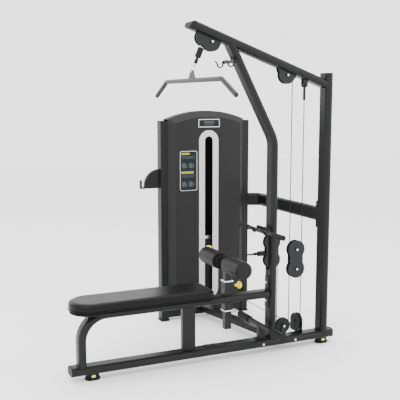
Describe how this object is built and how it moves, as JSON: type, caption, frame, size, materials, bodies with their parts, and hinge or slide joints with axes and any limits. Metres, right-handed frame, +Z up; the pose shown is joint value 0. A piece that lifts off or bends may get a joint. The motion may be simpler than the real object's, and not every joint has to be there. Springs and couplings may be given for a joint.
{
  "type": "lat pulldown and seated row machine",
  "caption": "Selectorised lat pulldown with seated row, long bench, knee rollers and a guarded weight stack beside the frame.",
  "frame": {"origin": "on the floor under the middle of the machine's bounding box", "axes": "+Z up, +X along the bench towards the rear upright, +Y from the bench frame towards the weight tower"},
  "size_m": [1.8857, 1.6284, 2.1673],
  "materials": {
    "frame_paint": "satin charcoal powder coat",
    "dark_paint": "satin black powder coat",
    "shroud": "satin dark grey powder coat",
    "trim": "silver satin",
    "bright": "bright",
    "iron": "black enamel",
    "wheel": "moulded nylon",
    "cap": "moulded cap",
    "rubber": "matte",
    "pad": "stitched black upholstery",
    "foam": "skinned foam",
    "yellow": "yellow knob",
    "insert": "pale yellow",
    "bushing": "white nylon",
    "cable": "coated steel cable",
    "bar": "dark satin",
    "board": "backing board"
  },
  "bodies": {
    "frame": {"base_rail": "frame_paint", "bench_tube": "frame_paint", "seat_post": "frame_paint", "main_upright": "frame_paint", "boom": "frame_paint", "rear_upright": "frame_paint", "crossbar": "frame_paint", "floor_beam": "frame_paint", "joint_plates": "frame_paint", "tube_caps": "cap", "foot_pads": "cap", "foot_inserts": "insert", "frame_bolts": "bright", "seat_board": "board", "seat_pad": "pad", "post_sleeve": "frame_paint", "sleeve_bushings": "bushing", "boom_pulley_plates": "dark_paint", "guide_block_plates": "dark_paint", "base_brackets": "dark_paint", "foot_bar": "frame_paint", "foot_bar_sleeves": "rubber", "tower_frame": "frame_paint", "front_shroud": "shroud", "rear_shroud": "shroud", "shroud_trim": "trim", "guide_rods": "bright", "resting_plates": "iron", "bar_hooks": "frame_paint", "route_cables": "cable", "upper_falls": "cable", "lower_falls": "cable", "stack_fall": "cable"},
    "stack": {"lifted_plates": "iron", "selector_rod": "bright"},
    "selector_pin_body": {"selector_pin": "yellow"},
    "lat_end": {"lat_cable_end": "rubber"},
    "lat_bar_body": {"lat_link": "bright", "lat_bar": "bar"},
    "block": {"block_plates": "dark_paint", "block_cables": "cable"},
    "block_upper_wheel": {"block_upper_pulley": "wheel"},
    "block_lower_wheel": {"block_lower_pulley": "wheel"},
    "boom_front_wheel": {"boom_front_pulley": "wheel"},
    "boom_rear_wheel": {"boom_rear_pulley": "wheel"},
    "guide_upper_wheel": {"guide_upper_pulley": "wheel"},
    "guide_lower_wheel": {"guide_lower_pulley": "wheel"},
    "base_front_wheel": {"base_front_pulley": "wheel"},
    "base_rear_wheel": {"base_rear_pulley": "wheel"},
    "tower_base_wheel": {"tower_base_pulley": "wheel"},
    "tower_side_wheel": {"tower_side_pulley": "wheel"},
    "tower_drop_wheel": {"tower_drop_pulley": "wheel"},
    "row_end": {"row_cable_end": "rubber"},
    "row_bar_body": {"row_bar": "frame_paint", "row_grips": "rubber"},
    "knee_pad": {"knee_post": "frame_paint", "roller_caps": "cap"},
    "near_roller": {"foam_roller_near": "foam"},
    "far_roller": {"foam_roller_far": "foam"},
    "lock_pin": {"pull_pin": "yellow"}
  },
  "joints": [
    {"name": "stack_lift", "type": "slide", "parent": "frame", "child": "stack", "axis": [0, 0, 1], "range_m": [0, 0.6], "deforming": ["stack_fall"]},
    {"name": "selector_pull", "type": "slide", "parent": "stack", "child": "selector_pin_body", "axis": [0, -1, 0], "range_m": [0, 0.08]},
    {"name": "lat_pull", "type": "slide", "parent": "frame", "child": "lat_end", "axis": [-0.3827, 0, -0.9239], "range_m": [0, 0.6]},
    {"name": "lat_bar_turn", "type": "hinge", "parent": "lat_end", "child": "lat_bar_body", "pos_m": [-0.11103, -0.21271, 1.9018], "axis": [0.3827, 0, 0.9239], "range_deg": [-60, 60]},
    {"name": "block_rise", "type": "slide", "parent": "frame", "child": "block", "axis": [0, 0, 1], "range_m": [0, 0.3], "deforming": ["upper_falls", "lower_falls"]},
    {"name": "block_upper_spin", "type": "hinge", "parent": "block", "child": "block_upper_wheel", "pos_m": [0.639, -0.21271, 0.684], "axis": [0, 1, 0], "continuous": true},
    {"name": "block_lower_spin", "type": "hinge", "parent": "block", "child": "block_lower_wheel", "pos_m": [0.639, -0.21271, 0.55], "axis": [0, 1, 0], "continuous": true},
    {"name": "boom_front_spin", "type": "hinge", "parent": "frame", "child": "boom_front_wheel", "pos_m": [-0.00014, -0.21271, 2.04669], "axis": [0, 1, 0], "continuous": true},
    {"name": "boom_rear_spin", "type": "hinge", "parent": "frame", "child": "boom_rear_wheel", "pos_m": [0.545, -0.21271, 1.85043], "axis": [0, 1, 0], "continuous": true},
    {"name": "guide_upper_spin", "type": "hinge", "parent": "frame", "child": "guide_upper_wheel", "pos_m": [0.451, -0.21271, 0.75], "axis": [0, 1, 0], "continuous": true},
    {"name": "guide_lower_spin", "type": "hinge", "parent": "frame", "child": "guide_lower_wheel", "pos_m": [0.451, -0.21271, 0.63], "axis": [0, 1, 0], "continuous": true},
    {"name": "base_front_spin", "type": "hinge", "parent": "frame", "child": "base_front_wheel", "pos_m": [0.545, -0.21271, 0.162], "axis": [0, 1, 0], "continuous": true},
    {"name": "base_rear_spin", "type": "hinge", "parent": "frame", "child": "base_rear_wheel", "pos_m": [0.686, -0.16571, 0.167], "axis": [1, 0, 0], "continuous": true},
    {"name": "tower_base_spin", "type": "hinge", "parent": "frame", "child": "tower_base_wheel", "pos_m": [0.686, 0.68029, 0.167], "axis": [1, 0, 0], "continuous": true},
    {"name": "tower_side_spin", "type": "hinge", "parent": "frame", "child": "tower_side_wheel", "pos_m": [0.639, 0.72729, 1.492], "axis": [0, 1, 0], "continuous": true},
    {"name": "tower_drop_spin", "type": "hinge", "parent": "frame", "child": "tower_drop_wheel", "pos_m": [0.4355, 0.72729, 1.492], "axis": [0, 1, 0], "continuous": true},
    {"name": "row_pull", "type": "slide", "parent": "frame", "child": "row_end", "axis": [-1, 0, 0], "range_m": [0, 0.6]},
    {"name": "row_bar_lift", "type": "slide", "parent": "frame", "child": "row_bar_body", "axis": [0, 0, 1], "range_m": [0, 0.06]},
    {"name": "knee_height", "type": "slide", "parent": "frame", "child": "knee_pad", "axis": [0, 0, 1], "range_m": [-0.08, 0]},
    {"name": "near_roller_spin", "type": "hinge", "parent": "knee_pad", "child": "near_roller", "pos_m": [0.098, -0.21271, 0.642], "axis": [0, 1, 0], "continuous": true},
    {"name": "far_roller_spin", "type": "hinge", "parent": "knee_pad", "child": "far_roller", "pos_m": [0.098, -0.21271, 0.642], "axis": [0, 1, 0], "continuous": true},
    {"name": "lock_pin_pull", "type": "slide", "parent": "frame", "child": "lock_pin", "axis": [1, 0, 0], "range_m": [0, 0.012], "stiffness_N_per_m": 1500}
  ],
  "couplings": [
    {"joint": "lat_pull", "follows": "stack_lift", "ratio": 1},
    {"joint": "block_rise", "follows": "stack_lift", "ratio": 0.5},
    {"joint": "block_upper_spin", "follows": "stack_lift", "rad_per_m": 10.638},
    {"joint": "block_lower_spin", "follows": "stack_lift", "rad_per_m": -10.638},
    {"joint": "boom_front_spin", "follows": "stack_lift", "rad_per_m": -21.277},
    {"joint": "boom_rear_spin", "follows": "stack_lift", "rad_per_m": -21.277},
    {"joint": "base_rear_spin", "follows": "stack_lift", "rad_per_m": -21.277},
    {"joint": "tower_base_spin", "follows": "stack_lift", "rad_per_m": -21.277},
    {"joint": "tower_side_spin", "follows": "stack_lift", "rad_per_m": 21.277},
    {"joint": "tower_drop_spin", "follows": "stack_lift", "rad_per_m": 21.277},
    {"joint": "guide_lower_spin", "follows": "row_pull", "rad_per_m": -21.277},
    {"joint": "base_front_spin", "follows": "row_pull", "rad_per_m": 21.277}
  ]
}
